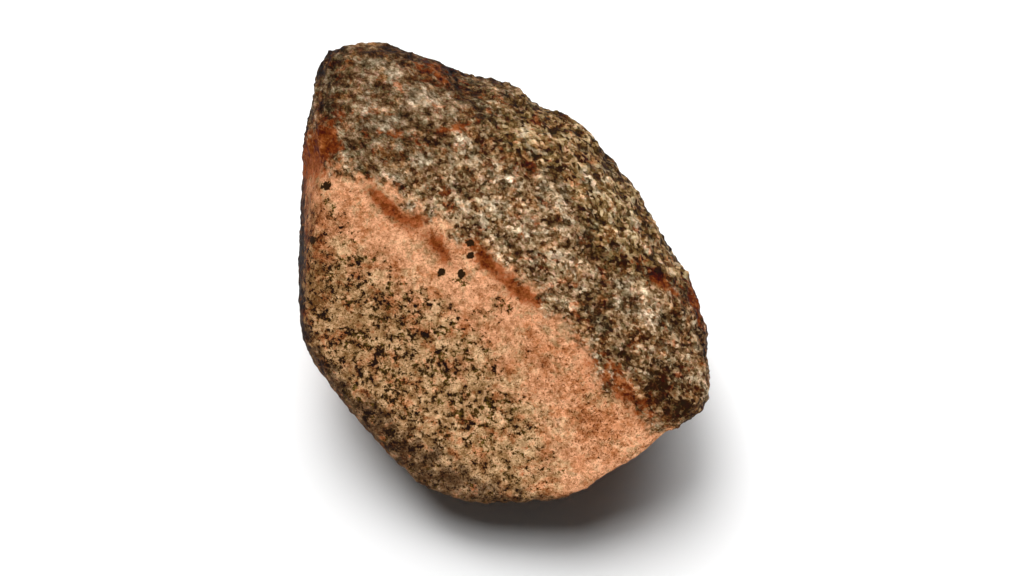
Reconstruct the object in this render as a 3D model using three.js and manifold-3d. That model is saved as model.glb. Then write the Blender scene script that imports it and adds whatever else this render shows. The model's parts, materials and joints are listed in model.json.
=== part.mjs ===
// A rough hand specimen of rock: pink granite grown against grey gneiss, broken loose along
// old joints and lying on the flattest of its breaks. Millimetres, +Z up. The origin is on the
// resting face, straight below the heart of the stone.
import * as THREE from 'three';
import Module from 'manifold-3d';
import { ImprovedNoise } from 'three/addons/math/ImprovedNoise.js';
import { mergeVertices } from 'three/addons/utils/BufferGeometryUtils.js';

const { degToRad, lerp, smoothstep } = THREE.MathUtils;

// Lie of the stone. The broad face looks up and to the front, and everything below is placed
// across it (to the right), up it and out of it, from the heart.
const HEART_HEIGHT = 31;
const BROAD_FACE_TILT = degToRad(65);
const ACROSS = new THREE.Vector3(1, 0, 0);
const UP = new THREE.Vector3(0, Math.sin(BROAD_FACE_TILT), Math.cos(BROAD_FACE_TILT));
const OUT = new THREE.Vector3(0, -Math.cos(BROAD_FACE_TILT), Math.sin(BROAD_FACE_TILT));

// The rim of the broad face, anticlockwise from the right-hand corner. From each corner to the
// next the stone falls away behind the rim, `undercut` degrees inwards, and where there is a
// `bevel` it rises in front of the rim in a narrow face that looks so many degrees outwards.
const RIM = [
  { corner: [53.6, -32, 5], undercut: 6, bevel: 26 },
  { corner: [49.8, -6.5, 2], undercut: 9, bevel: 30 },
  { corner: [25.2, 31.2, -2], undercut: 4 },
  { corner: [19, 37.5, -2], undercut: 18, bevel: 34 },
  { corner: [-1.2, 48.3, 0], undercut: 10, bevel: 32 },
  { corner: [-31, 59.4, 2], undercut: 28 },
  { corner: [-41.7, 61.3, 2], undercut: 30, bevel: 34 },
  { corner: [-48.2, 57, 2], undercut: 12, bevel: 20 },
  { corner: [-53.4, 29, 0], undercut: 12, bevel: 18 },
  { corner: [-53.2, -12.8, 0], undercut: 18 },
  { corner: [-52.4, -21, 0], undercut: 22, bevel: 24 },
  { corner: [-42.5, -34.2, 1], undercut: 24, bevel: 24 },
  { corner: [-22.8, -55, 5], undercut: 28 },
  { corner: [-12, -60.4, 8], undercut: 32, bevel: 34 },
  { corner: [16.5, -61.2, 11], undercut: 27 },
  { corner: [33.5, -48.4, 14], undercut: 22, bevel: 34 },
  { corner: [54.8, -35.2, 8], undercut: 12 },
];

// The faces that show from the front, each by a point on it and how many millimetres it rises
// out of the rim's plane for each millimetre across and up.
const FRONT_FACES = [
  { name: 'pink joint face', point: [-4, 5, 25], rise: [0.19, 0.27] },
  { name: 'pink lower end', point: [20, -45, 14.5], rise: [0.02, 0.36] },
  { name: 'grey inner break', point: [-4, 4, 24.7], rise: [-0.14, -0.19] },
  { name: 'grey outer break', point: [14, 22, 18.5], rise: [-0.62, -0.55] },
  { name: 'right shoulder', point: [34, -12, 17], rise: [-0.5, -0.25] },
  { name: 'top knob', point: [-26, 40, 19], rise: [0.02, -0.42] },
];

// Breaks on the far side, by compass bearing from +X, slope of the direction that the face
// looks in (+ up, - down) and distance from the heart.
const FAR_FACES = [
  { bearing: 104, slope: -6, distance: 54 },
  { bearing: 66, slope: 8, distance: 48 },
  { bearing: 152, slope: -16, distance: 54 },
  { bearing: 30, slope: -22, distance: 47 },
];

// Hollows (-) and lumps (+) as wide as `radius`, at places across and up the broad face.
const SWELLS = [
  { place: [19, -7], radius: 10, height: -2.6 },
  { place: [34, -10], radius: 10, height: 2 },
  { place: [0, 30], radius: 8, height: -2 },
  { place: [-11, 42], radius: 8, height: -1.8 },
  { place: [14, 23], radius: 7, height: -1.4 },
  { place: [-30, 34], radius: 11, height: 1.4 },
  { place: [10, 10], radius: 11, height: 1.6 },
  { place: [42, -37], radius: 6, height: -2.2 },
  { place: [-14, -18], radius: 20, height: -0.8 },
  { place: [-44, 29], radius: 6, height: -2.2 },
  { place: [-46, 57], radius: 7, height: 1.2 },
  { place: [-49, 43], radius: 6, height: -2.4 },
  { place: [-53, 30], radius: 6, height: 0.8 },
  { place: [1, 48], radius: 8, height: 1.6 },
  { place: [-15, 53], radius: 7, height: -1 },
  { place: [53, -34], radius: 5, height: 2.6 },
  { place: [18, -56], radius: 7, height: 1.6 },
];

// The line on the broad face beyond which the grey gneiss begins, standing proud by a step. It
// passes through the point at this slope, and bends down on either side of it.
const CONTACT_POINT = [-6, 4.5];
const CONTACT_SLOPE = -0.745;
const CONTACT_BEND = -0.0043;
const CONTACT_STEP = 1.2;
const CONTACT_STEP_WIDTH = 4;

// Breaks across the layers of the gneiss, which lie along the contact: ledges this high, about
// this far apart, in layers that wander over this length.
const LAYER_LEAN = [0.57, 0.74, 0.36];
const LAYER_PITCH = 11;
const LAYER_WANDER = 34;
const LEDGE_HEIGHT = 1.3;
const LEDGE_LIP = 0.58;

// Unevenness of the broken surface: how tall its waves are on each rock, and how long.
const COARSE_WAVE = 17;
const FINE_WAVE = 6.5;
const FINE_SHARE = 0.6;
const GREY_UNEVENNESS = 1.3;
const PINK_UNEVENNESS = 0.5;

// A high power leaves sharp arrises between the breaks, a low one wears them round.
const ARRIS_POWER = 27;
const MESH_DETAIL = 21;
const FLOOR_SIZE = 300;

const noise = new ImprovedNoise();
const wasm = await Module();
wasm.setup();

function placed(across, up, out) {
  return new THREE.Vector3()
    .addScaledVector(ACROSS, across)
    .addScaledVector(UP, up)
    .addScaledVector(OUT, out);
}

function faceThrough(point, direction) {
  const normal = direction.clone().normalize();
  return { normal, distance: normal.dot(point) };
}

// A face along one stretch of the rim, looking `lean` degrees out of the rim's own plane.
function rimFace(start, end, lean) {
  const along = end.clone().sub(start).normalize();
  const away = along.clone().cross(OUT).normalize();
  const towards = away.clone().cross(along);
  const angle = degToRad(lean);
  const direction = away.multiplyScalar(Math.cos(angle)).addScaledVector(towards, Math.sin(angle));
  return faceThrough(start, direction);
}

function rimFaces() {
  const corners = RIM.map(({ corner }) => placed(...corner));
  return RIM.flatMap(({ undercut, bevel }, i) => {
    const ends = [corners[i], corners[(i + 1) % corners.length]];
    const leans = bevel === undefined ? [-undercut] : [-undercut, bevel];
    return leans.map((lean) => rimFace(...ends, lean));
  });
}

function frontFaces() {
  return FRONT_FACES.map(({ point, rise }) =>
    faceThrough(placed(...point), placed(-rise[0], -rise[1], 1)));
}

function farFaces() {
  return FAR_FACES.map(({ bearing, slope, distance }) => {
    const normal = new THREE.Vector3(1, 0, 0)
      .applyAxisAngle(new THREE.Vector3(0, -1, 0), degToRad(slope))
      .applyAxisAngle(new THREE.Vector3(0, 0, 1), degToRad(bearing));
    return { normal, distance };
  });
}

const BREAK_FACES = [...rimFaces(), ...frontFaces(), ...farFaces()];
const LAYER_DIRECTION = placed(...LAYER_LEAN).normalize();

// How far the broken block reaches from its heart in one direction, with worn arrises.
function blockReach(direction) {
  let sum = 0;
  for (const { normal, distance } of BREAK_FACES) {
    const share = normal.dot(direction) / distance;
    if (share > 0) sum += share ** ARRIS_POWER;
  }
  return sum ** (-1 / ARRIS_POWER);
}

function waves(point, length, seed) {
  return noise.noise(point.x / length + seed, point.y / length - seed, point.z / length);
}

// 0 on the pink granite and 1 on the grey gneiss, over the width of the step between them.
function greyShare(across, up) {
  const along = across - CONTACT_POINT[0];
  const contact = CONTACT_POINT[1] + along * CONTACT_SLOPE + along * along * CONTACT_BEND;
  const beyond = (up - contact) / Math.hypot(1, CONTACT_SLOPE);
  return smoothstep(beyond, -CONTACT_STEP_WIDTH / 2, CONTACT_STEP_WIDTH / 2);
}

function swells(across, up) {
  return SWELLS.reduce((sum, { place, radius, height }) => {
    const d = Math.hypot(across - place[0], up - place[1]) / radius;
    return sum + height * Math.exp(-d * d);
  }, 0);
}

// Stair-like breaks: a slow rise over the edge of each layer and a quick drop to the next.
function ledges(point) {
  const layer = point.dot(LAYER_DIRECTION) / LAYER_PITCH + 1.5 * waves(point, LAYER_WANDER, 7.3);
  const along = layer - Math.floor(layer);
  return LEDGE_HEIGHT * (along - smoothstep(along, LEDGE_LIP, 1) - LEDGE_LIP / 2);
}

function unevenness(point, grey) {
  const height = lerp(PINK_UNEVENNESS, GREY_UNEVENNESS, grey);
  return height * (waves(point, COARSE_WAVE, 3.1) + FINE_SHARE * waves(point, FINE_WAVE, 11.7));
}

// A point of the broken surface, from the heart.
function surfacePoint(direction) {
  const point = direction.clone().multiplyScalar(blockReach(direction));
  const across = point.dot(ACROSS);
  const up = point.dot(UP);
  const front = smoothstep(point.dot(OUT), -16, -4);
  const grey = greyShare(across, up);
  const relief = front * (swells(across, up) + CONTACT_STEP * grey)
    + grey * ledges(point) + unevenness(point, grey);
  return point.addScaledVector(direction, relief);
}

function brokenBlock() {
  const ball = new THREE.IcosahedronGeometry(1, MESH_DETAIL);
  const geometry = pointsOnly(ball);
  const places = geometry.getAttribute('position');
  const direction = new THREE.Vector3();
  for (let i = 0; i < places.count; i += 1) {
    const point = surfacePoint(direction.fromBufferAttribute(places, i).normalize());
    places.setXYZ(i, point.x, point.y, point.z + HEART_HEIGHT);
  }
  return geometry;
}

function pointsOnly(geometry) {
  geometry.deleteAttribute('normal');
  geometry.deleteAttribute('uv');
  return mergeVertices(geometry);
}

function solidOf(geometry) {
  return new wasm.Manifold(new wasm.Mesh({
    numProp: 3,
    vertProperties: new Float32Array(geometry.getAttribute('position').array),
    triVerts: new Uint32Array(geometry.index.array),
  }));
}

function geometryOf(solid) {
  const { vertProperties, triVerts } = solid.getMesh();
  const geometry = new THREE.BufferGeometry();
  geometry.setAttribute('position', new THREE.BufferAttribute(vertProperties, 3));
  geometry.setIndex(new THREE.BufferAttribute(triVerts, 1));
  geometry.computeVertexNormals();
  return geometry;
}

// The block with its resting face cut level.
function rock() {
  const floor = new THREE.BoxGeometry(FLOOR_SIZE, FLOOR_SIZE, FLOOR_SIZE).translate(0, 0, -FLOOR_SIZE / 2);
  const solid = solidOf(brokenBlock()).subtract(solidOf(pointsOnly(floor)));
  const material = new THREE.MeshStandardMaterial({ color: 0xa57a58, roughness: 0.85, metalness: 0 });
  const mesh = new THREE.Mesh(geometryOf(solid), material);
  mesh.name = 'rock';
  return mesh;
}

const part = new THREE.Group();
part.add(rock());

export default part;
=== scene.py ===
"""Looks of a rough rock: pink granite grown against grey gneiss, on a pale studio floor.

Metres, +Z up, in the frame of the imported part. Places on the stone's broad face are given in
millimetres across it (to the right), up it and out of it, from the heart of the stone.
"""

import json
import math
from typing import NamedTuple

import bpy
import numpy as np
from bpy.props import FloatProperty, FloatVectorProperty, PointerProperty
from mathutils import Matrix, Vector

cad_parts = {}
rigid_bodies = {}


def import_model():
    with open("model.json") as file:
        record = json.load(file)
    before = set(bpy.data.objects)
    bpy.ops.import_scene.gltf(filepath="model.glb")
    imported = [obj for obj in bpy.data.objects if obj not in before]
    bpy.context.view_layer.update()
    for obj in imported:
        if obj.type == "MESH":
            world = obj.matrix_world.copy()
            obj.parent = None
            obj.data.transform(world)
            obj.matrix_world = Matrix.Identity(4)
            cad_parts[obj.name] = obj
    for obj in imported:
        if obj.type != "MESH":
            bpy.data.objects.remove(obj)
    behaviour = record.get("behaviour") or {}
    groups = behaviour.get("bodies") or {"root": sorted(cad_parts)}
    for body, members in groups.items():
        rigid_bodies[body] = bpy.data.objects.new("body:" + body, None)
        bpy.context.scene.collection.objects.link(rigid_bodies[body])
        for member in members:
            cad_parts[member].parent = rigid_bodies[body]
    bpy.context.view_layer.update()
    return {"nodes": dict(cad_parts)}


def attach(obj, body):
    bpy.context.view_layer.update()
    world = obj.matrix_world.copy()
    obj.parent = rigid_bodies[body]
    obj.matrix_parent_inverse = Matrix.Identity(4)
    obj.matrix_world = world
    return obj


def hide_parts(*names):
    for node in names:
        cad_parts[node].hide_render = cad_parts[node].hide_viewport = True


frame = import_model()

bl_info = {
    "name": "Rough Rock",
    "version": (1, 0, 0),
    "blender": (4, 5, 0),
    "location": "View3D > Sidebar > Rough Rock",
    "description": "Builds a broken stone of pink granite and grey gneiss, and its studio",
    "category": "Object",
}

MM = 0.001
HEART = np.array((0.0, 0.0, 31.0))
TILT = math.radians(65.0)
ACROSS = np.array((1.0, 0.0, 0.0))
UP = np.array((0.0, math.sin(TILT), math.cos(TILT)))
OUT = np.array((0.0, -math.cos(TILT), math.sin(TILT)))


def on_face(across, up, out):
    """A direction given across, up and out of the broad face, as a direction of the part."""
    direction = across * ACROSS + up * UP + out * OUT
    return tuple(direction / np.linalg.norm(direction))


class Wave(NamedTuple):
    """Noise: length of its waves in millimetres, octaves, roughness, bend, and swing about zero."""

    size: float
    detail: float = 2.0
    rough: float = 0.5
    warp: float = 0.0
    swing: float = 1.0


class Ramp(NamedTuple):
    """A smooth rise from bottom to top, while what drives it goes from low to high."""

    low: float
    high: float
    bottom: float = 0.0
    top: float = 1.0


class Fray(NamedTuple):
    """How noise breaks up a zone's edge: length and swing of its waves, and the ramp over the edge."""

    size: float
    swing: float
    ramp: Ramp


class Sun(NamedTuple):
    """A soft light from far away: the direction that it stands in, and its spread in degrees."""

    towards: tuple
    spread: float


# The line where the grey begins: a point on it, its slope there and its bend. In places the grey
# laps over it, by this much at most.
CONTACT_POINT = (-6.0, 4.5)
CONTACT_SLOPE = -0.745
CONTACT_BEND = -0.0043
LAP = 4.5

# The seam between the inner and the outer gneiss, where the grey face breaks over, from the top edge to the
# right edge.
SEAM = (
    (-15.0, 57.0),
    (-10.0, 45.0),
    (0.0, 29.0),
    (14.0, 23.0),
    (24.0, 1.0),
    (46.0, -4.0),
    (54.0, -6.0),
)

# Patches on the broad face: place across and up, half length, half width, turn and strength.
LAP_PATCHES = ((28.0, -27.0, 11.0, 5.0, -47, 1.0),)
RUST_PATCHES = (
    (-46.6, 28.0, 5.8, 4.4, 58, 1.0),
    (-44.4, 31.6, 4.8, 4.0, 50, 1.0),
    (-29.0, 16.6, 6.5, 1.9, -43, 1.0),
    (-21.6, 12.6, 2.0, 1.6, 40, 0.9),
    (-16.0, 6.5, 5.6, 1.8, -56, 0.9),
    (-4.3, 2.7, 6.2, 1.7, -48, 1.0),
    (4.1, -4.7, 5.6, 1.7, -42, 1.0),
    (26.0, -25.5, 9.0, 3.6, -46, 0.5),
    (31.5, -31.5, 8.0, 3.6, -42, 0.42),
    (3.8, 25.8, 4.5, 2.4, -20, 0.55),
    (-12.5, 35.0, 6.0, 1.4, 17, 0.5),
    (38.0, -2.0, 7.0, 1.5, -38, 0.8),
    (47.5, -8.5, 7.0, 1.8, -68, 0.65),
    (-17.5, 49.5, 6.5, 3.4, -25, 0.5),
    (-30.0, 38.0, 4.5, 1.6, -8, 0.4),
    (8.0, 12.5, 2.6, 1.8, 0, 0.5),
    (-27.0, 33.5, 5.0, 1.2, -8, 0.4),
    (-14.0, 19.0, 2.6, 1.6, -60, 0.5),
)
# Dark patches are partly darker stone and partly painted shade, in hollows and along the step on the grey
# side of the contact.
DARK_PATCHES = (
    (43.5, -34.0, 9.0, 5.0, -25, 1.0),
    (38.5, -26.0, 5.0, 3.0, -60, 0.8),
    (33.5, -29.5, 7.0, 3.0, -42, 0.15),
    (-25.5, 13.2, 4.0, 1.8, -43, 0.5),
    (-17.0, 5.2, 4.5, 2.2, -56, 0.35),
    (-3.6, 1.2, 3.6, 1.0, -48, 0.5),
    (21.5, -9.5, 6.0, 3.5, -60, 0.7),
    (28.5, -19.0, 6.0, 2.4, -45, 0.6),
    (3.0, -19.0, 11.0, 7.0, -42, 0.17),
    (-38.0, -11.0, 12.0, 11.0, 0, 0.17),
    (-44.0, 38.5, 4.0, 2.6, 70, 0.8),
    (-15.5, 49.5, 6.0, 3.0, -25, 0.4),
    (-44.5, 47.0, 5.0, 2.0, 80, 0.6),
    (14.0, 25.0, 6.0, 2.2, -25, 0.6),
    (-36.0, 54.5, 9.0, 2.5, 5, 0.5),
    (43.0, -9.5, 5.5, 3.5, -50, 0.6),
)
PALE_PATCHES = (
    (-31.0, 51.0, 5.0, 2.0, -5, 0.8),
    (-20.0, 43.0, 6.0, 3.5, -10, 0.9),
    (-29.5, 36.0, 8.0, 3.0, 5, 0.8),
    (13.5, 17.5, 5.0, 3.5, -50, 0.8),
    (-7.0, 28.0, 6.0, 4.0, -40, 0.6),
    (34.0, -9.0, 6.0, 5.0, -30, 0.6),
    (2.0, 14.0, 7.0, 4.0, -40, 0.5),
)
BLUSH_PATCHES = (
    (22.0, -35.0, 13.0, 8.0, -45, 1.0),
    (13.0, -20.0, 12.0, 4.0, -45, 0.5),
    (-12.0, 6.0, 14.0, 3.0, -40, 0.45),
    (-26.0, 12.5, 8.0, 2.4, -43, 0.45),
)
CLUSTER_PATCHES = (
    (0.2, -8.0, 3.6, 2.8, 0, 0.9),
    (-11.0, -2.4, 3.0, 2.2, 0, 0.7),
    (-6.3, -10.0, 3.0, 2.0, 0, 0.7),
)
MICA_PATCHES = (
    (-42.0, 13.0, 11.0, 7.0, -60, 0.7),
    (4.0, -18.0, 13.0, 6.0, -42, 0.45),
    (22.0, -38.0, 10.0, 6.0, -45, 0.35),
)

# Single large flakes of black mica: place across and up, and radius. Over each radius their mark
# falls by this share.
FLAKES = (
    (-43.2, 21.0, 1.15),
    (-15.4, 0.2, 1.0),
    (-10.6, -0.3, 1.05),
    (-8.4, 7.3, 1.05),
    (-8.5, 4.1, 0.9),
    (-47.0, 8.0, 1.0),
)
FLAKE_FALL = 0.5

# How far out of the face a place is where the front begins and is whole, the same for the marks on
# the rim, and where the far side begins and is whole.
FRONT = (-12.0, -2.0)
RIM_FRONT = (-9.0, 1.0)
FAR_SIDE = (-5.0, -18.0)

# The outer gneiss begins over these distances above the seam and beyond the contact.
OUTER_ABOVE_SEAM = (-3.0, 3.0)
OUTER_BEYOND_CONTACT = (0.0, 6.0)

# The knob at the top lies above a slanted line. It begins over these heights above the same line
# through the heart, and over these distances beyond the contact.
KNOB_SLANT = 0.7
KNOB_ABOVE_LINE = (32.0, 56.0)
KNOB_BEYOND_CONTACT = (0.0, 5.0)

# The flanks begin this far out of the face, less on the outer gneiss, and grow whole below that.
# Their colour is painted shade, darker where the surface turns away. The far side has less of it.
FLANK_TOP = 12.0
FLANK_DROP_ON_OUTER = 11.0
FLANK_BELOW_TOP = (0.0, -5.0)
FLANK_LOSS_ON_FAR_SIDE = 0.35

# Painted shade along the seam, where the surface breaks over: strength and half width.
SEAM_SHADE = 0.45
SEAM_WIDTH = 3.0

# Painted shade on the left-hand rim, between places across and up, and on the right-hand rim, by how
# far out of the face it is, where the surface turns away.
LEFT_RIM_SHADE = 0.85
LEFT_RIM_ACROSS = (-40.0, -50.0)
LEFT_RIM_FOOT = (-30.0, -10.0)
LEFT_RIM_HEAD = (28.0, 12.0)
RIGHT_RIM_SHADE = 0.3
RIGHT_RIM_OUT = (12.0, 5.0)

# Tan granite begins over these distances from the contact, and fades to the right.
TAN_FROM_CONTACT = (-5.0, -30.0)
TAN_LOSS_TO_RIGHT = 0.85
TAN_FADE_ACROSS = (2.0, 20.0)

# Mica begins over these distances from the contact and from its right-hand edge, which is given by
# places up the face, from low to high, and across. It thins out to the left and to the foot.
MICA_FROM_CONTACT = (-8.0, -20.0)
MICA_EDGE = ((-50.0, -34.0, -24.0, -12.0), (16.0, 8.0, 0.0, -4.0))
MICA_INSIDE_EDGE = (-10.0, 10.0)
MICA_LOSS_TO_LEFT = 0.15
MICA_FADE_ACROSS = (-28.0, -44.0)
MICA_LOSS_TO_FOOT = 0.33
MICA_FADE_UP = (-34.0, -52.0)

# Mica on the left-hand rim of the granite.
RIM_MICA = 0.8
RIM_MICA_ACROSS = (-45.0, -51.0)
RIM_MICA_FROM_CONTACT = (0.0, -8.0)

# The relief begins over these heights, so that the resting face stays level.
RAISED = (0.2, 2.5)

# Directions across the layers of the gneiss, and across the streaks of the knob. A stretch of a
# half makes what lies along them twice as long.
LAYER_NORMAL = on_face(0.57, 0.74, 0.36)
KNOB_NORMAL = on_face(0.08, 0.95, 0.30)

# Relief of the surface. The fine waves of the granite have a share of its height, and the flanks have
# a share of the relief of the gneiss.
GREY_RELIEF = Ramp(-1.5, 2.0)
LUMPS = Wave(6.5, rough=0.6)
LAYERS = Wave(2.4, rough=0.6)
LAYER_STRETCH = 0.35
GRAIN_RELIEF_WIDTH = 1.7
GRANITE_SLOW_RELIEF = Wave(7.0)
GRANITE_FINE_RELIEF = Wave(1.8, rough=0.7)
GRANITE_FINE_SHARE = 0.7
MICA_PIT = Ramp(0.0, 0.05, 0.0, -0.12)
FLANK_RELIEF_SHARE = 0.6
BREAKS = Wave(11.0, detail=4.0, rough=0.6, warp=0.6)

# Mica in flakes that gather in clumps, both measured in flake widths. The flakes are where noise
# stands above a level, high where mica is rare and low where it is common.
MICA_CLUMPS = Wave(2.6, rough=0.6, swing=2.2)
MICA_FLAKES = Wave(0.78, detail=3.5, rough=0.75)
MICA_SHARE = 0.74
RARE_MICA_LEVEL = 0.71
COMMON_MICA_LEVEL = 0.49
FLAKE_EDGE = Ramp(-0.03, 0.035)

# Ragged edge of the single large flakes.
SPOT_NOISE = Wave(1.2, rough=0.7)
SPOT_EDGE = Ramp(-0.05, 0.08)

# Edges of the zones.
FRAY_DETAIL = 3.0
FRAY_ROUGH = 0.7
CONTACT_EDGE = Fray(5.0, 22.0, Ramp(-2.0, 2.0))
TAN_EDGE = Fray(6.0, 3.0, Ramp(0.1, 0.9))
BLUSH_EDGE = Fray(2.2, 3.0, Ramp(0.3, 0.9, top=0.8))
PALE_EDGE = Fray(2.2, 2.4, Ramp(0.35, 0.9, top=0.55))
FLANK_SHADE_EDGE = Fray(4.0, 2.4, Ramp(0.2, 0.9, top=0.85))
RUST_EDGE = Fray(2.4, 2.6, Ramp(0.2, 0.7, top=0.95))
IRON_EDGE = Fray(1.5, 3.0, Ramp(0.45, 1.05, top=0.85))

# Tints that change from place to place, and how much of each colour they bring.
GRANITE_TINTS = Wave(3.6, detail=3.0, rough=0.7)
BLUSH_TINT = Ramp(0.5, 0.64, top=0.75)
SMUDGE_TINT = Ramp(0.5, 0.66)
SMUDGE_BY_CONTACT = Ramp(-16.0, -3.0, 0.5, 0.8)
GNEISS_TINTS = Wave(4.2, detail=3.0, rough=0.7)
RUSSET_TINT = Ramp(0.5, 0.64, top=0.75)
QUARTZ_TINT = Ramp(0.5, 0.64, top=0.7)
RUST_TINT = Ramp(0.59, 0.68, top=0.6)
GRAIN_TINTS = Wave(1.3, detail=3.0, rough=0.7)
ROSY_TINT = Ramp(0.52, 0.64, top=0.45)
OLIVE_TINT = Ramp(0.52, 0.64, top=0.5)

# How much nearer to thick rust a stain is on the grey.
IRON_ON_GREY = 0.6

# Tones, where a half leaves a colour as it is and more is lighter. First those of the granite.
GRANITE_TONE = 0.595
GRANITE_SLOW = Wave(6.0, rough=0.6, swing=0.35)
GRANITE_MOTTLE = Wave(2.4, detail=3.5, rough=0.95, swing=1.8)
SPECKS = Wave(0.7, rough=0.9)
SPECK_TONE = Ramp(0.46, 0.34, top=-0.4)
SPECK_SHARE = 0.5
DULL_PLACES = Wave(2.8, detail=3.0, rough=0.8)
DULL_TONE = Ramp(0.44, 0.62, top=-0.28)
FLAKE_EDGE_TONE = Ramp(-0.1, 0.0, top=-0.12)
FLAKE_SHADES = Wave(3.0, rough=0.6)
FLAKE_TONE = Ramp(0.4, 0.6, -0.4, -0.16)

# Tones of the gneiss: its ragged grains, the streaks of its knob and its clouds.
GNEISS_TONE = 0.457
GRAIN_SHAKE = Wave(0.7, rough=0.7, swing=0.9)
INNER_CONTRAST = 0.7
OUTER_CONTRAST = 0.85
THIN_STREAKS = Wave(0.95, detail=4.0, rough=0.95, swing=3.0)
THIN_STRETCH = 0.4
BROAD_STREAKS = Wave(4.2, rough=0.6, swing=2.2)
BROAD_STRETCH = 0.35
STREAK_SHARE = 0.7
CLOUDS = Wave(2.6, detail=3.0, rough=0.9, swing=2.4)
CLOUD_STRETCH = 0.6
# Painted light on the raised grains and painted shade in the hollows, by the height of the relief.
RELIEF_SHADE_TONE = 0.25
PALE_TONE = 0.18
OUTER_TONE = 0.02
KNOB_TONE = -0.03

# Tones of both rocks.
# Dark patches, the seam and the rims darken by this tone, much of it painted shade.
DARK_TONE = -0.5
DARK_PLACES = Wave(5.0, detail=3.0, rough=0.7)
DARK_BREAKS = Ramp(0.38, 0.6, 0.45, 1.2)
RUST_TONE = 0.43
RUST_TONE_SHARE = 0.5
SPOT_TONE = 0.04
# The flanks are darkened further by this tone, as painted shade.
FLANK_SHADE_TONE = -0.06
DARKEST_TONE = -0.08
DARKEST_BLEND = 0.15

# How much a whole step of tone adds to the cube root of a colour, and the cube root of the darkest
# brown.
TONE_REACH = 0.56
DEEPEST_ROOT = (0.1, 0.08, 0.06)

# Finish of the surface: roughness by tone, and a fine bump this deep.
SURFACE_ROUGHNESS = Ramp(0.1, 0.5, 0.65, 0.85)
SURFACE_SPECULAR = 0.06
BUMP_STRENGTH = 0.8
BUMP_DEPTH = 0.4

# Making the mesh and its map.
JOIN_DISTANCE = 0.001
SMOOTHING = 0.5
SMOOTHING_ROUNDS = 6
MAP_ANGLE = math.radians(66.0)
MAP_MARGIN = 0.004

# The floor, a hair below the stone so that the two faces don't fight.
FLOOR_WIDTH = 6000.0
FLOOR_GAP = 0.05
FLOOR_ROUGHNESS = 0.9

# Two suns light only the floor, and three only the stone.
FLOOR_HIGH = Sun((-0.25, 0.43, 0.87), 44.0)
FLOOR_LOW = Sun((-0.06, 0.87, 0.5), 76.0)
KEY = Sun(on_face(0.45, 0.6, 0.66), 25.0)
FILL = Sun(on_face(-0.35, -0.35, 0.87), 60.0)
BACK = Sun((-0.3, 0.8, 0.5), 60.0)

# The camera looks at this place across and up the broad face. The picture is this many pixels wide
# and shows a millimetre there as this many of them.
CAMERA_AIM = (1.75, -3.75)
PICTURE_WIDTH = 1024.0
VIEW_SCALE = 4.0
SENSOR_WIDTH = 36.0
CLIP_START = 10.0


def linear(code):
    """Linear colour of a hex code as it shows on screen."""
    parts = [int(code[i : i + 2], 16) / 255.0 for i in (1, 3, 5)]
    return tuple(p / 12.92 if p <= 0.04045 else ((p + 0.055) / 1.055) ** 2.4 for p in parts)


def colour(name, description, code):
    return FloatVectorProperty(
        name=name,
        description=description,
        subtype="COLOR",
        size=3,
        min=0.0,
        max=1.0,
        default=linear(code),
    )


def length(name, description, millimetres):
    return FloatProperty(
        name=name,
        description=description,
        subtype="DISTANCE",
        unit="LENGTH",
        min=0.0,
        default=millimetres * MM,
    )


def strength(name, description, default):
    return FloatProperty(name=name, description=description, min=0.0, default=default)


class StoneSettings(bpy.types.PropertyGroup):
    """Sizes and colours of the stone. Each colour is the middle tone of its part."""

    mesh_size: length("Mesh size", "Edge length of the faces before the last subdivision", 1.28)
    lump_height: length("Lump height", "Height of the broad lumps of the gneiss", 2.2)
    layer_height: length("Layer height", "Height of the broken edges of the layers", 2.0)
    grain_height: length("Grain height", "Height of the coarse grains of the gneiss", 1.0)
    break_height: length("Break height", "Height of the broken lumps of the far sides", 6.0)
    granite_height: length("Granite height", "Height of the slow waves of the granite face", 0.9)
    inner_grain: length("Inner grain", "Width of the grains of the inner gneiss", 0.8)
    outer_grain: length("Outer grain", "Width of the grains of the outer gneiss", 1.05)
    mica_size: length("Mica size", "Width of the mica flakes in the granite", 1.6)
    peach: colour("Peach", "Granite beside the contact", "#c58a62")
    tan: colour("Tan", "Granite away from the contact", "#b99268")
    blush: colour("Blush", "Granite stained by iron", "#b06d42")
    mica: colour("Mica", "Flakes of dark mica, before they are darkened", "#6a5424")
    russet: colour("Russet", "Red-brown tints of the gneiss", "#8c6038")
    rosy: colour("Rosy", "Pink grains of the gneiss", "#865a48")
    olive: colour("Olive", "Green-grey grains of the gneiss", "#6c6444")
    smudge: colour("Smudge", "Dull smudges on the granite", "#94744e")
    inner: colour("Inner gneiss", "Gneiss between the contact and the seam", "#7a5e3f")
    outer: colour("Outer gneiss", "Gneiss beyond the seam", "#745a35")
    knob: colour("Knob", "Streaky gneiss of the knob at the top", "#644a2f")
    quartz: colour("Quartz", "Grey grains and streaks", "#80725a")
    rust: colour("Rust", "Thin rust stain", "#924a23")
    iron: colour("Iron", "Thick rust at the heart of a stain", "#6c3309")
    # The flank colour is painted shade on the sides that turn away from the broad face.
    flanks: colour("Rind", "Weathered sides", "#4c3622")


class StageSettings(bpy.types.PropertyGroup):
    """Floor, light and camera."""

    floor: colour("Floor", "Pale studio floor", "#f7f7f7")
    floor_high: strength("High light", "Floor light from above", 1.8)
    floor_low: strength("Low light", "Floor light from behind", 5.4)
    key: strength("Key", "Light on the stone from above right", 2.3)
    fill: strength("Fill", "Light on the stone from the left", 2.2)
    back: strength("Back", "Light on the stone from behind", 1.6)
    room: strength("Room", "Light of the white room", 0.05)
    camera_distance: length("Camera distance", "From the place that it aims at to the camera", 700.0)


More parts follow.
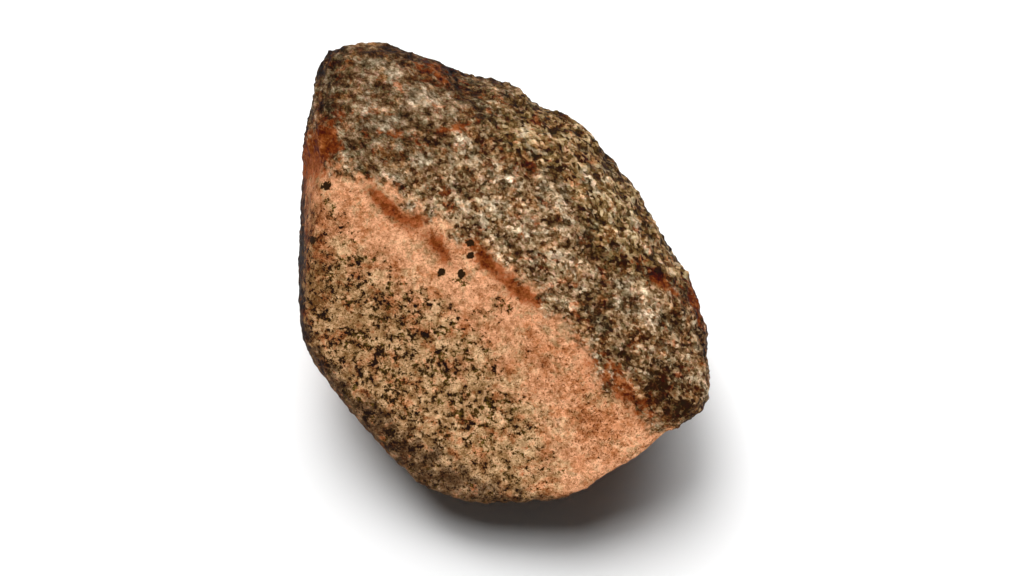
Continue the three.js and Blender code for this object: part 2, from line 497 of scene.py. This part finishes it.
class Net:
    """Lays nodes in a tree. An input may be a plain value or another node's output."""

    def __init__(self, tree):
        self.tree = tree
        tree.nodes.clear()

    def feed(self, socket, value):
        if isinstance(value, bpy.types.NodeSocket):
            self.tree.links.new(value, socket)
        elif socket.type == "RGBA":
            socket.default_value = (*value, 1.0)
        else:
            socket.default_value = value

    def lay(self, kind, inputs=None, **settings):
        node = self.tree.nodes.new(kind)
        for name, value in settings.items():
            setattr(node, name, value)
        for name, value in (inputs or {}).items():
            self.feed(node.inputs[name], value)
        return node

    def math(self, operation, *values):
        node = self.lay("ShaderNodeMath", operation=operation)
        for socket, value in zip(node.inputs, values):
            self.feed(socket, value)
        return node.outputs[0]

    def vector(self, operation, *values):
        node = self.lay("ShaderNodeVectorMath", operation=operation)
        for socket, value in zip(node.inputs, values):
            self.feed(socket, value)
        return node.outputs["Value" if operation == "DOT_PRODUCT" else "Vector"]

    def scaled(self, vector, factor):
        node = self.lay("ShaderNodeVectorMath", {"Scale": factor}, operation="SCALE")
        self.feed(node.inputs[0], vector)
        return node.outputs["Vector"]

    def noise(self, at, wave, unit=1.0):
        inputs = {
            "Vector": at,
            "Scale": 1.0 / (wave.size * unit),
            "Detail": wave.detail,
            "Roughness": wave.rough,
            "Distortion": wave.warp,
        }
        return self.lay("ShaderNodeTexNoise", inputs)

    def waves(self, at, wave, unit=1.0):
        return self.noise(at, wave, unit).outputs["Fac"]

    def cells(self, at, size, feature="F1"):
        inputs = {"Vector": at, "Scale": 1.0 / size}
        return self.lay("ShaderNodeTexVoronoi", inputs, feature=feature)

    def ramp(self, value, ramp):
        inputs = {
            "Value": value,
            "From Min": ramp.low,
            "From Max": ramp.high,
            "To Min": ramp.bottom,
            "To Max": ramp.top,
        }
        return self.lay("ShaderNodeMapRange", inputs, interpolation_type="SMOOTHSTEP").outputs["Result"]

    def mix(self, factor, first, second):
        node = self.lay("ShaderNodeMix", data_type="RGBA")
        for index, value in ((0, factor), (6, first), (7, second)):
            self.feed(node.inputs[index], value)
        return node.outputs[2]

    def between(self, factor, first, second):
        node = self.lay("ShaderNodeMix", data_type="FLOAT")
        for index, value in ((0, factor), (2, first), (3, second)):
            self.feed(node.inputs[index], value)
        return node.outputs[0]


def smooth(value, low, high):
    """0 below low, 1 above high and a smooth step between, also with low and high swapped."""
    share = np.clip((value - low) / (high - low), 0.0, 1.0)
    return share * share * (3.0 - 2.0 * share)


def patches(across, up, rows):
    """Soft union of oval patches on the broad face."""
    clear = np.ones_like(across)
    for place_across, place_up, half_length, half_width, turn, strongest in rows:
        angle = math.radians(turn)
        x = across - place_across
        y = up - place_up
        along = (x * math.cos(angle) + y * math.sin(angle)) / half_length
        aside = (y * math.cos(angle) - x * math.sin(angle)) / half_width
        clear *= 1.0 - strongest * np.exp(-(along * along + aside * aside))
    return 1.0 - clear


def beyond_contact(across, up):
    """Distance from the contact, + on the grey side."""
    along = across - CONTACT_POINT[0]
    contact = CONTACT_POINT[1] + along * CONTACT_SLOPE + along * along * CONTACT_BEND
    distance = (up - contact) / np.hypot(1.0, CONTACT_SLOPE + 2.0 * along * CONTACT_BEND)
    return distance + LAP * patches(across, up, LAP_PATCHES)


def from_seam(across, up):
    """Distance from the weathered seam."""
    nearest = np.full_like(across, np.inf)
    for start, end in zip(SEAM[:-1], SEAM[1:]):
        run = np.subtract(end, start)
        share = ((across - start[0]) * run[0] + (up - start[1]) * run[1]) / np.dot(run, run)
        share = np.clip(share, 0.0, 1.0)
        distance = np.hypot(across - start[0] - share * run[0], up - start[1] - share * run[1])
        nearest = np.minimum(nearest, distance)
    return nearest


def outer_zone(across, up, contact):
    """The gneiss above the seam."""
    above = up - np.interp(across, *np.transpose(SEAM))
    return smooth(above, *OUTER_ABOVE_SEAM) * smooth(contact, *OUTER_BEYOND_CONTACT)


def knob_zone(across, up, contact):
    """The streaky gneiss at the top."""
    return smooth(up - KNOB_SLANT * across, *KNOB_ABOVE_LINE) * smooth(contact, *KNOB_BEYOND_CONTACT)


def flank_zone(out, outer, far):
    """The flanks, painted darker as shade where the surface turns away."""
    top = FLANK_TOP - FLANK_DROP_ON_OUTER * outer
    return smooth(out - top, *FLANK_BELOW_TOP) * (1.0 - FLANK_LOSS_ON_FAR_SIDE * far)


def dark_zone(across, up, out, outer):
    """Dark stone and painted shade: patches, the seam, and the rims on the left and on the right."""
    # Painted shade along the break at the seam.
    seam = SEAM_SHADE * np.exp(-((from_seam(across, up) / SEAM_WIDTH) ** 2))
    # Painted shade on the rims on the left and on the right, where the surface turns away.
    left_rim = LEFT_RIM_SHADE * smooth(out, *RIM_FRONT) * smooth(across, *LEFT_RIM_ACROSS)
    left_rim *= smooth(up, *LEFT_RIM_FOOT) * smooth(up, *LEFT_RIM_HEAD)
    right_rim = RIGHT_RIM_SHADE * outer * smooth(out, *RIGHT_RIM_OUT)
    return np.maximum.reduce((patches(across, up, DARK_PATCHES), seam, left_rim, right_rim))


def tan_zone(across, contact):
    """The granite that is tan."""
    return smooth(contact, *TAN_FROM_CONTACT) * (1.0 - TAN_LOSS_TO_RIGHT * smooth(across, *TAN_FADE_ACROSS))


def mica_zone(across, up, contact):
    """The granite that is full of mica."""
    inside = np.interp(up, *MICA_EDGE) - across
    mica = smooth(contact, *MICA_FROM_CONTACT) * smooth(inside, *MICA_INSIDE_EDGE)
    to_left = MICA_LOSS_TO_LEFT * smooth(across, *MICA_FADE_ACROSS)
    to_foot = MICA_LOSS_TO_FOOT * smooth(up, *MICA_FADE_UP)
    mica *= 1.0 - to_left - to_foot
    rim = RIM_MICA * smooth(across, *RIM_MICA_ACROSS) * smooth(contact, *RIM_MICA_FROM_CONTACT)
    return np.maximum.reduce((mica, rim, patches(across, up, MICA_PATCHES)))


def flake_zone(across, up):
    """The single large flakes: 1 in the middle of each."""
    flakes = np.zeros_like(across)
    for place_across, place_up, radius in FLAKES:
        away = np.hypot(across - place_across, up - place_up) / radius
        flakes = np.maximum(flakes, 1.0 - FLAKE_FALL * away)
    return flakes


def store(mesh, name, values):
    """Keeps one number or one vector for each vertex."""
    kind, key = ("FLOAT", "value") if values.ndim == 1 else ("FLOAT_VECTOR", "vector")
    attribute = mesh.attributes.new(name, kind, "POINT")
    attribute.data.foreach_set(key, np.ascontiguousarray(values, dtype=np.float32).ravel())


def vertex_places(mesh):
    """Places of all vertices, one row each."""
    places = np.empty(len(mesh.vertices) * 3)
    mesh.vertices.foreach_get("co", places)
    return places.reshape(-1, 3)


def store_zones(mesh):
    """Writes on the mesh where each rock, stain and patch lies."""
    rest = vertex_places(mesh) / MM
    across, up, out = ((rest - HEART) @ axis for axis in (ACROSS, UP, OUT))
    contact = beyond_contact(across, up)
    outer = outer_zone(across, up, contact)
    front = smooth(out, *FRONT)
    far = smooth(out, *FAR_SIDE)
    zones = {
        "rest": rest,
        "contact": contact,
        "outer": outer,
        "knob": knob_zone(across, up, contact),
        "far": far,
        "flanks": flank_zone(out, outer, far),
        "rust": smooth(out, *RIM_FRONT) * patches(across, up, RUST_PATCHES),
        "dark": front * dark_zone(across, up, out, outer),
        "pale": front * patches(across, up, PALE_PATCHES),
        "blush": patches(across, up, BLUSH_PATCHES),
        "tan": tan_zone(across, contact),
        "mica": mica_zone(across, up, contact),
        "clusters": patches(across, up, CLUSTER_PATCHES),
        "flakes": front * flake_zone(across, up),
        "raised": smooth(rest[:, 2], *RAISED),
    }
    for name, values in zones.items():
        store(mesh, name, values)


def along_layers(net, at, normal, stretch):
    """Coordinates drawn out along the layers, so that what lies on them is long and thin."""
    height = net.vector("DOT_PRODUCT", at, normal)
    across_layers = net.scaled(normal, net.math("MULTIPLY", height, 1.0 - stretch))
    return net.vector("ADD", net.scaled(at, stretch), across_layers)


def centred(net, value, size):
    """A value about a half shifted to swing about zero, and drawn out to this size."""
    return net.math("MULTIPLY", net.math("SUBTRACT", value, 0.5), size)


def swinging(net, at, wave, unit=1.0):
    """A wave with its own swing about zero."""
    return centred(net, net.waves(at, wave, unit), wave.swing)


def frayed(net, at, zone, fray):
    """A zone with its edge broken up by noise."""
    wave = Wave(fray.size, FRAY_DETAIL, FRAY_ROUGH, swing=fray.swing)
    return net.ramp(net.math("ADD", zone, swinging(net, at, wave)), fray.ramp)


def total(net, *values):
    """Sum of any number of values."""
    result = values[0]
    for value in values[1:]:
        result = net.math("ADD", result, value)
    return result


def drawn(net, cells):
    """One random number for each cell."""
    return net.vector("DOT_PRODUCT", cells.outputs["Color"], (1.0, 0.0, 0.0))


def tints(net, at, wave, count):
    """Up to three waves that have nothing to do with each other."""
    waves = net.noise(at, wave).outputs["Color"]
    return [net.vector("DOT_PRODUCT", waves, tuple(axis)) for axis in np.eye(3)[:count]]


def mica_depth(net, at, field, width):
    """How deep inside a ragged flake of mica a place is: below 0 outside."""
    clumps = swinging(net, at, MICA_CLUMPS, width)
    wanted = net.math("MULTIPLY", field("mica"), net.math("ADD", MICA_SHARE, clumps))
    wanted = net.math("MAXIMUM", wanted, field("clusters"))
    flakes = net.waves(at, MICA_FLAKES, width)
    return net.math("SUBTRACT", flakes, net.between(wanted, RARE_MICA_LEVEL, COMMON_MICA_LEVEL))


def gneiss_relief(net, settings, at):
    """Lumps, broken edges of layers and coarse grains, in millimetres."""
    lumps = centred(net, net.waves(at, LUMPS), settings.lump_height / MM)
    layers = net.waves(along_layers(net, at, LAYER_NORMAL, LAYER_STRETCH), LAYERS)
    layers = centred(net, layers, settings.layer_height / MM)
    grains = net.cells(at, GRAIN_RELIEF_WIDTH, "SMOOTH_F1").outputs["Distance"]
    grains = centred(net, net.math("SUBTRACT", 1.0, grains), settings.grain_height / MM)
    return total(net, lumps, layers, grains)


def granite_relief(net, settings, at, field):
    """Slow and fine waves, with shallow pits at the mica, in millimetres."""
    height = settings.granite_height / MM
    slow = centred(net, net.waves(at, GRANITE_SLOW_RELIEF), height)
    fine = centred(net, net.waves(at, GRANITE_FINE_RELIEF), GRANITE_FINE_SHARE * height)
    pits = net.ramp(mica_depth(net, at, field, settings.mica_size / MM), MICA_PIT)
    return total(net, slow, fine, pits)


def relief_tree(settings):
    """Geometry nodes that move the surface in and out along its normal, and keep by how much."""
    tree = bpy.data.node_groups.new("Stone relief", "GeometryNodeTree")
    tree.interface.new_socket("Geometry", in_out="INPUT", socket_type="NodeSocketGeometry")
    tree.interface.new_socket("Geometry", in_out="OUTPUT", socket_type="NodeSocketGeometry")
    net = Net(tree)

    def field(name, kind="FLOAT"):
        return net.lay("GeometryNodeInputNamedAttribute", {"Name": name}, data_type=kind).outputs[0]

    at = field("rest", "FLOAT_VECTOR")
    grey = net.ramp(field("contact"), GREY_RELIEF)
    rough = net.math("MAXIMUM", grey, net.math("MULTIPLY", field("flanks"), FLANK_RELIEF_SHARE))
    near = net.between(rough, granite_relief(net, settings, at, field), gneiss_relief(net, settings, at))
    breaks = centred(net, net.waves(at, BREAKS), settings.break_height / MM)
    height = net.math("ADD", near, net.math("MULTIPLY", breaks, field("far")))
    height = net.math("MULTIPLY", height, field("raised"))
    normal = net.lay("GeometryNodeInputNormal").outputs["Normal"]
    offset = net.scaled(normal, net.math("MULTIPLY", height, MM))
    start = net.lay("NodeGroupInput")
    kept = {"Geometry": start.outputs["Geometry"], "Name": "height", "Value": height}
    kept = net.lay("GeometryNodeStoreNamedAttribute", kept, data_type="FLOAT", domain="POINT")
    moved = {"Geometry": kept.outputs["Geometry"], "Offset": offset}
    moved = net.lay("GeometryNodeSetPosition", moved)
    end = net.lay("NodeGroupOutput")
    net.feed(end.inputs["Geometry"], moved.outputs["Geometry"])
    return tree


def lightened(net, base, tone):
    """The colour made lighter or darker by how far the tone is from a half, no greyer for it."""
    root = net.lay("ShaderNodeGamma", {"Color": base, "Gamma": 1.0 / 3.0}).outputs["Color"]
    moved = net.vector("ADD", root, centred(net, tone, TONE_REACH))
    kept = net.vector("MAXIMUM", moved, DEEPEST_ROOT)
    return net.lay("ShaderNodeGamma", {"Color": kept, "Gamma": 3.0}).outputs["Color"]


def dark_patches_and_shade(net, at, field):
    """How much darker a place is for standing in a dark patch or in painted shade, all of them broken up."""
    broken = net.ramp(net.waves(at, DARK_PLACES), DARK_BREAKS)
    return net.math("MULTIPLY", net.math("MULTIPLY", field("dark"), broken), DARK_TONE)


def granite_colour(net, settings, at, field):
    """Peach by the contact, tan away from it, blushed by iron and smudged."""
    base = net.mix(frayed(net, at, field("tan"), TAN_EDGE), settings.peach, settings.tan)
    base = net.mix(frayed(net, at, field("blush"), BLUSH_EDGE), base, settings.blush)
    warm, dull = tints(net, at, GRANITE_TINTS, 2)
    base = net.mix(net.ramp(warm, BLUSH_TINT), base, settings.blush)
    smudged = net.math("MULTIPLY", net.ramp(dull, SMUDGE_TINT), net.ramp(field("contact"), SMUDGE_BY_CONTACT))
    return net.mix(smudged, base, settings.smudge)


def granite_tone(net, at, field, depth, flake):
    """How light the granite is: mottled, specked, dull in patches, dark at mica, with painted shade."""
    slow = swinging(net, at, GRANITE_SLOW)
    mottle = swinging(net, at, GRANITE_MOTTLE)
    specks = net.ramp(net.waves(at, SPECKS), SPECK_TONE)
    specks = net.math("MULTIPLY", specks, total(net, field("tan"), field("blush"), SPECK_SHARE))
    dull = net.ramp(net.waves(at, DULL_PLACES), DULL_TONE)
    dull = net.math("MULTIPLY", dull, field("mica"))
    edge = net.ramp(depth, FLAKE_EDGE_TONE)
    dark = dark_patches_and_shade(net, at, field)
    black = net.math("MULTIPLY", flake, net.ramp(net.waves(at, FLAKE_SHADES), FLAKE_TONE))
    return total(net, GRANITE_TONE, slow, mottle, specks, dull, edge, dark, black)


def gneiss_colour(net, settings, at, field):
    """Grey-brown, tinted in clouds and from grain to grain, and grey where it is palest."""
    base = net.mix(field("outer"), settings.inner, settings.outer)
    base = net.mix(field("knob"), base, settings.knob)
    warm, cold, rusty = tints(net, at, GNEISS_TINTS, 3)
    pink, green = tints(net, at, GRAIN_TINTS, 2)
    base = net.mix(net.ramp(warm, RUSSET_TINT), base, settings.russet)
    base = net.mix(net.ramp(cold, QUARTZ_TINT), base, settings.quartz)
    base = net.mix(net.ramp(pink, ROSY_TINT), base, settings.rosy)
    base = net.mix(net.ramp(green, OLIVE_TINT), base, settings.olive)
    base = net.mix(net.ramp(rusty, RUST_TINT), base, settings.rust)
    return net.mix(frayed(net, at, field("pale"), PALE_EDGE), base, settings.quartz)


def gneiss_tone(net, settings, at, field):
    """How light the gneiss is: grains, knob streaks, painted shade in hollows and painted light on bumps."""
    shake = net.vector("SUBTRACT", net.noise(at, GRAIN_SHAKE).outputs["Color"], (0.5, 0.5, 0.5))
    ragged = net.vector("ADD", at, net.scaled(shake, GRAIN_SHAKE.swing))
    small = drawn(net, net.cells(ragged, settings.inner_grain / MM))
    large = drawn(net, net.cells(ragged, settings.outer_grain / MM))
    grains = net.between(field("outer"), small, large)
    thin = swinging(net, along_layers(net, ragged, KNOB_NORMAL, THIN_STRETCH), THIN_STREAKS)
    broad = swinging(net, along_layers(net, ragged, KNOB_NORMAL, BROAD_STRETCH), BROAD_STREAKS)
    streaks = total(net, 0.5, thin, broad)
    grains = net.between(net.math("MULTIPLY", field("knob"), STREAK_SHARE), grains, streaks)
    grains = centred(net, grains, net.between(field("outer"), INNER_CONTRAST, OUTER_CONTRAST))
    clouds = swinging(net, along_layers(net, at, LAYER_NORMAL, CLOUD_STRETCH), CLOUDS)
    # Painted light and shade by the height of the relief.
    height = net.math("MULTIPLY", field("height"), RELIEF_SHADE_TONE)
    pale = net.math("MULTIPLY", field("pale"), PALE_TONE)
    outer = net.math("MULTIPLY", field("outer"), OUTER_TONE)
    knob = net.math("MULTIPLY", field("knob"), KNOB_TONE)
    dark = dark_patches_and_shade(net, at, field)
    return total(net, GNEISS_TONE, outer, knob, grains, clouds, height, pale, dark)


def stone_material(settings):
    """One material for the whole stone; the zones come from the mesh."""
    material = bpy.data.materials.new("stone")
    material.use_nodes = True
    net = Net(material.node_tree)

    def field(name, output="Fac"):
        return net.lay("ShaderNodeAttribute", attribute_name=name, attribute_type="GEOMETRY").outputs[output]

    at = field("rest", "Vector")
    grey = frayed(net, at, field("contact"), CONTACT_EDGE)
    rust = frayed(net, at, field("rust"), RUST_EDGE)
    depth = mica_depth(net, at, field, settings.mica_size / MM)
    flake = net.ramp(depth, FLAKE_EDGE)
    spot = net.math("SUBTRACT", field("flakes"), net.waves(at, SPOT_NOISE))
    spot = net.ramp(spot, SPOT_EDGE)

    granite = granite_colour(net, settings, at, field)
    base = net.mix(grey, granite, gneiss_colour(net, settings, at, field))
    # Painted shade on the flanks, where the surface turns away.
    base = net.mix(frayed(net, at, field("flanks"), FLANK_SHADE_EDGE), base, settings.flanks)
    stain = net.mix(net.math("MULTIPLY", grey, IRON_ON_GREY), settings.rust, settings.iron)
    base = net.mix(rust, base, stain)
    base = net.mix(frayed(net, at, field("rust"), IRON_EDGE), base, settings.iron)
    black = net.math("MULTIPLY", flake, net.math("SUBTRACT", 1.0, grey))
    base = net.mix(net.math("MAXIMUM", black, spot), base, settings.mica)

    granite = granite_tone(net, at, field, depth, flake)
    tone = net.between(grey, granite, gneiss_tone(net, settings, at, field))
    tone = net.between(net.math("MULTIPLY", rust, RUST_TONE_SHARE), tone, RUST_TONE)
    tone = net.between(spot, tone, SPOT_TONE)
    # Painted shade on the flanks darkens the tone as well.
    tone = net.math("ADD", tone, net.math("MULTIPLY", field("flanks"), FLANK_SHADE_TONE))
    tone = net.math("SMOOTH_MAX", tone, DARKEST_TONE, DARKEST_BLEND)

    bump = {"Strength": BUMP_STRENGTH, "Distance": BUMP_DEPTH * MM, "Height": tone}
    bump = net.lay("ShaderNodeBump", bump)
    shader = {
        "Base Color": lightened(net, base, tone),
        "Roughness": net.ramp(tone, SURFACE_ROUGHNESS),
        "Specular IOR Level": SURFACE_SPECULAR,
        "Normal": bump.outputs["Normal"],
    }
    shader = net.lay("ShaderNodeBsdfPrincipled", shader)
    end = net.lay("ShaderNodeOutputMaterial")
    net.feed(end.inputs["Surface"], shader.outputs["BSDF"])
    return material


def alone(piece):
    """Leaves only this piece selected and active."""
    bpy.ops.object.select_all(action="DESELECT")
    piece.select_set(True)
    bpy.context.view_layer.objects.active = piece


def applied(piece, kind, **settings):
    """Adds a modifier to the piece and applies it."""
    modifier = piece.modifiers.new(kind.title(), kind)
    for name, value in settings.items():
        setattr(modifier, name, value)
    alone(piece)
    bpy.ops.object.modifier_apply(modifier=modifier.name)


def copied(node, name):
    """A free copy of a CAD node, its loose triangles joined up."""
    alone(node)
    bpy.ops.object.duplicate()
    piece = bpy.context.object
    bpy.ops.object.parent_clear(type="CLEAR_KEEP_TRANSFORM")
    piece.name = name
    piece.data.name = name
    piece.data.materials.clear()
    for key in list(piece.keys()):
        del piece[key]
    bpy.ops.object.mode_set(mode="EDIT")
    bpy.ops.mesh.select_all(action="SELECT")
    bpy.ops.mesh.remove_doubles(threshold=JOIN_DISTANCE * MM)
    bpy.ops.object.mode_set(mode="OBJECT")
    return piece


def unwrap(piece):
    """Lays out a map of the surface, while it is still smooth."""
    while piece.data.uv_layers:
        piece.data.uv_layers.remove(piece.data.uv_layers[0])
    piece.data.uv_layers.new(name="OFBake")
    alone(piece)
    bpy.ops.object.mode_set(mode="EDIT")
    bpy.ops.mesh.select_all(action="SELECT")
    bpy.ops.uv.smart_project(angle_limit=MAP_ANGLE, island_margin=MAP_MARGIN)
    bpy.ops.object.mode_set(mode="OBJECT")


def keep_above_floor(mesh):
    """The resting face stays level: nothing reaches below it."""
    places = vertex_places(mesh)
    places[:, 2] = np.maximum(places[:, 2], 0.0)
    mesh.vertices.foreach_set("co", places.ravel())
    mesh.update()


class ROUGHROCK_OT_stone(bpy.types.Operator):
    """Make the stone's surface over its solid"""

    bl_idname = "rough_rock.stone"
    bl_label = "Stone"

    def execute(self, context):
        settings = context.scene.rough_rock_stone
        stone = copied(frame["nodes"]["rock"], "stone")
        applied(stone, "REMESH", mode="VOXEL", voxel_size=settings.mesh_size)
        applied(stone, "SMOOTH", factor=SMOOTHING, iterations=SMOOTHING_ROUNDS)
        unwrap(stone)
        applied(stone, "SUBSURF", levels=1, render_levels=1)
        store_zones(stone.data)
        applied(stone, "NODES", node_group=relief_tree(settings))
        keep_above_floor(stone.data)
        stone.data.materials.clear()
        stone.data.materials.append(stone_material(settings))
        alone(stone)
        bpy.ops.object.shade_smooth()
        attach(stone, "root")
        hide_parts("rock")
        return {"FINISHED"}


def floor_material(base):
    """Plain and dull."""
    material = bpy.data.materials.new("floor")
    material.use_nodes = True
    shader = material.node_tree.nodes["Principled BSDF"]
    shader.inputs["Base Color"].default_value = (*base, 1.0)
    shader.inputs["Roughness"].default_value = FLOOR_ROUGHNESS
    shader.inputs["Specular IOR Level"].default_value = 0.0
    return material


def lay_floor(settings):
    """A plain floor for the stone to rest on."""
    bpy.ops.object.select_all(action="DESELECT")
    bpy.ops.mesh.primitive_plane_add(size=FLOOR_WIDTH * MM, location=(0.0, 0.0, -FLOOR_GAP * MM))
    floor = bpy.context.object
    floor.name = "floor"
    floor.data.materials.append(floor_material(settings.floor))
    return floor


def hang_sun(name, sun, energy, lit):
    """Adds a sun that falls on one object only."""
    towards = Vector(sun.towards)
    bpy.ops.object.light_add(type="SUN", location=towards)
    light = bpy.context.object
    light.name = name
    light.rotation_euler = towards.to_track_quat("Z", "Y").to_euler()
    light.data.energy = energy
    light.data.angle = math.radians(sun.spread)
    receivers = bpy.data.collections.new("lit by " + name)
    receivers.objects.link(lit)
    light.light_linking.receiver_collection = receivers


def light_room(scene, settings):
    """A white room around the stone."""
    scene.world = scene.world or bpy.data.worlds.new("room")
    scene.world.use_nodes = True
    room = scene.world.node_tree.nodes["Background"]
    room.inputs["Color"].default_value = (1.0, 1.0, 1.0, 1.0)
    room.inputs["Strength"].default_value = settings.room


def place_camera(scene, settings):
    """A camera that looks straight at the broad face."""
    aim = HEART + CAMERA_AIM[0] * ACROSS + CAMERA_AIM[1] * UP
    distance = settings.camera_distance / MM
    bpy.ops.object.camera_add(location=Vector((aim + distance * OUT) * MM))
    camera = bpy.context.object
    camera.rotation_euler = (math.pi / 2.0 - TILT, 0.0, 0.0)
    camera.data.sensor_fit = "HORIZONTAL"
    camera.data.sensor_width = SENSOR_WIDTH
    camera.data.lens = SENSOR_WIDTH * distance * VIEW_SCALE / PICTURE_WIDTH
    camera.data.clip_start = CLIP_START * MM
    scene.camera = camera


class ROUGHROCK_OT_stage(bpy.types.Operator):
    """Make the floor, the lights and the camera"""

    bl_idname = "rough_rock.stage"
    bl_label = "Stage"

    def execute(self, context):
        settings = context.scene.rough_rock_stage
        stone = bpy.data.objects["stone"]
        floor = lay_floor(settings)
        hang_sun("floor high", FLOOR_HIGH, settings.floor_high, floor)
        hang_sun("floor low", FLOOR_LOW, settings.floor_low, floor)
        hang_sun("key", KEY, settings.key, stone)
        hang_sun("fill", FILL, settings.fill, stone)
        hang_sun("back", BACK, settings.back, stone)
        light_room(context.scene, settings)
        place_camera(context.scene, settings)
        context.scene.view_settings.view_transform = "Standard"
        return {"FINISHED"}


class ROUGHROCK_PT_panel(bpy.types.Panel):
    """The stone and its stage, in the sidebar"""

    bl_idname = "ROUGHROCK_PT_panel"
    bl_label = "Rough Rock"
    bl_space_type = "VIEW_3D"
    bl_region_type = "UI"
    bl_category = "Rough Rock"

    def draw(self, context):
        for settings, operator in (
            (context.scene.rough_rock_stone, ROUGHROCK_OT_stone),
            (context.scene.rough_rock_stage, ROUGHROCK_OT_stage),
        ):
            box = self.layout.box()
            for name in settings.bl_rna.properties.keys():
                if name not in ("rna_type", "name"):
                    box.prop(settings, name)
            box.operator(operator.bl_idname)


CLASSES = (StoneSettings, StageSettings, ROUGHROCK_OT_stone, ROUGHROCK_OT_stage, ROUGHROCK_PT_panel)


def register():
    for each in CLASSES:
        bpy.utils.register_class(each)
    bpy.types.Scene.rough_rock_stone = PointerProperty(type=StoneSettings)
    bpy.types.Scene.rough_rock_stage = PointerProperty(type=StageSettings)


def unregister():
    del bpy.types.Scene.rough_rock_stage
    del bpy.types.Scene.rough_rock_stone
    for each in reversed(CLASSES):
        bpy.utils.unregister_class(each)


def main():
    register()
    bpy.ops.rough_rock.stone()
    bpy.ops.rough_rock.stage()


if __name__ == "__main__":
    main()
